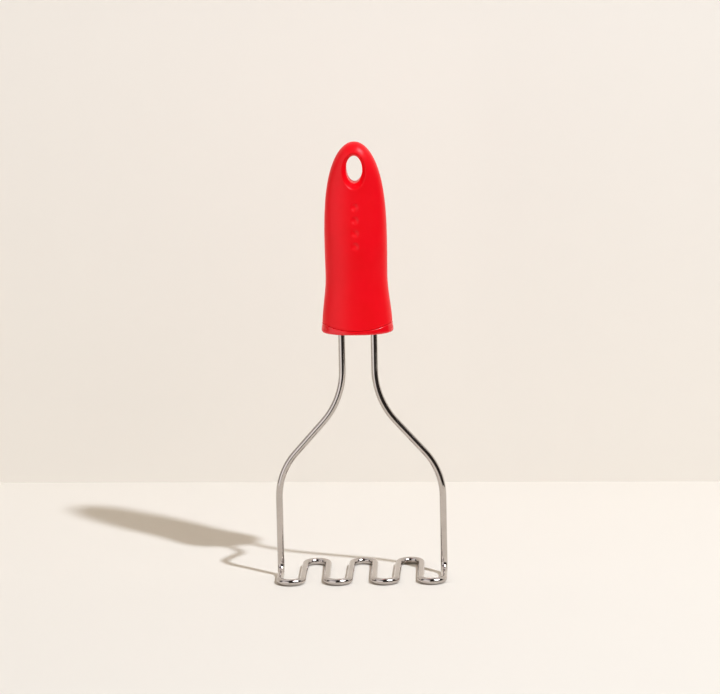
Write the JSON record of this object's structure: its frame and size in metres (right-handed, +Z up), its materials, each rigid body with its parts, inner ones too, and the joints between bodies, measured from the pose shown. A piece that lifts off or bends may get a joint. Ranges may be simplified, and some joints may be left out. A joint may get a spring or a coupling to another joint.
{
  "type": "potato masher",
  "caption": "Hand potato masher: one bent steel wire makes a flat zig-zag foot and two legs that rise into an oval red silicone grip with a hang hole.",
  "frame": {"origin": "on the surface it stands on, under the middle of the foot", "axes": "+Z up the handle, +X along the foot's width to the right, +Y through the hang hole to the rear"},
  "size_m": [0.1002, 0.052, 0.259],
  "materials": {
    "wire": "polished stainless steel",
    "grip": "satin silicone",
    "collar": "semi-gloss",
    "core": "matt glass-filled nylon",
    "screw": "zinc plated"
  },
  "bodies": {
    "root": {"wire_frame": "wire", "core_front": "core", "core_rear": "core", "base_collar": "collar", "silicone_grip": "grip", "core_screw_lower": "screw", "core_screw_middle": "screw", "core_screw_upper": "screw"}
  },
  "joints": []
}
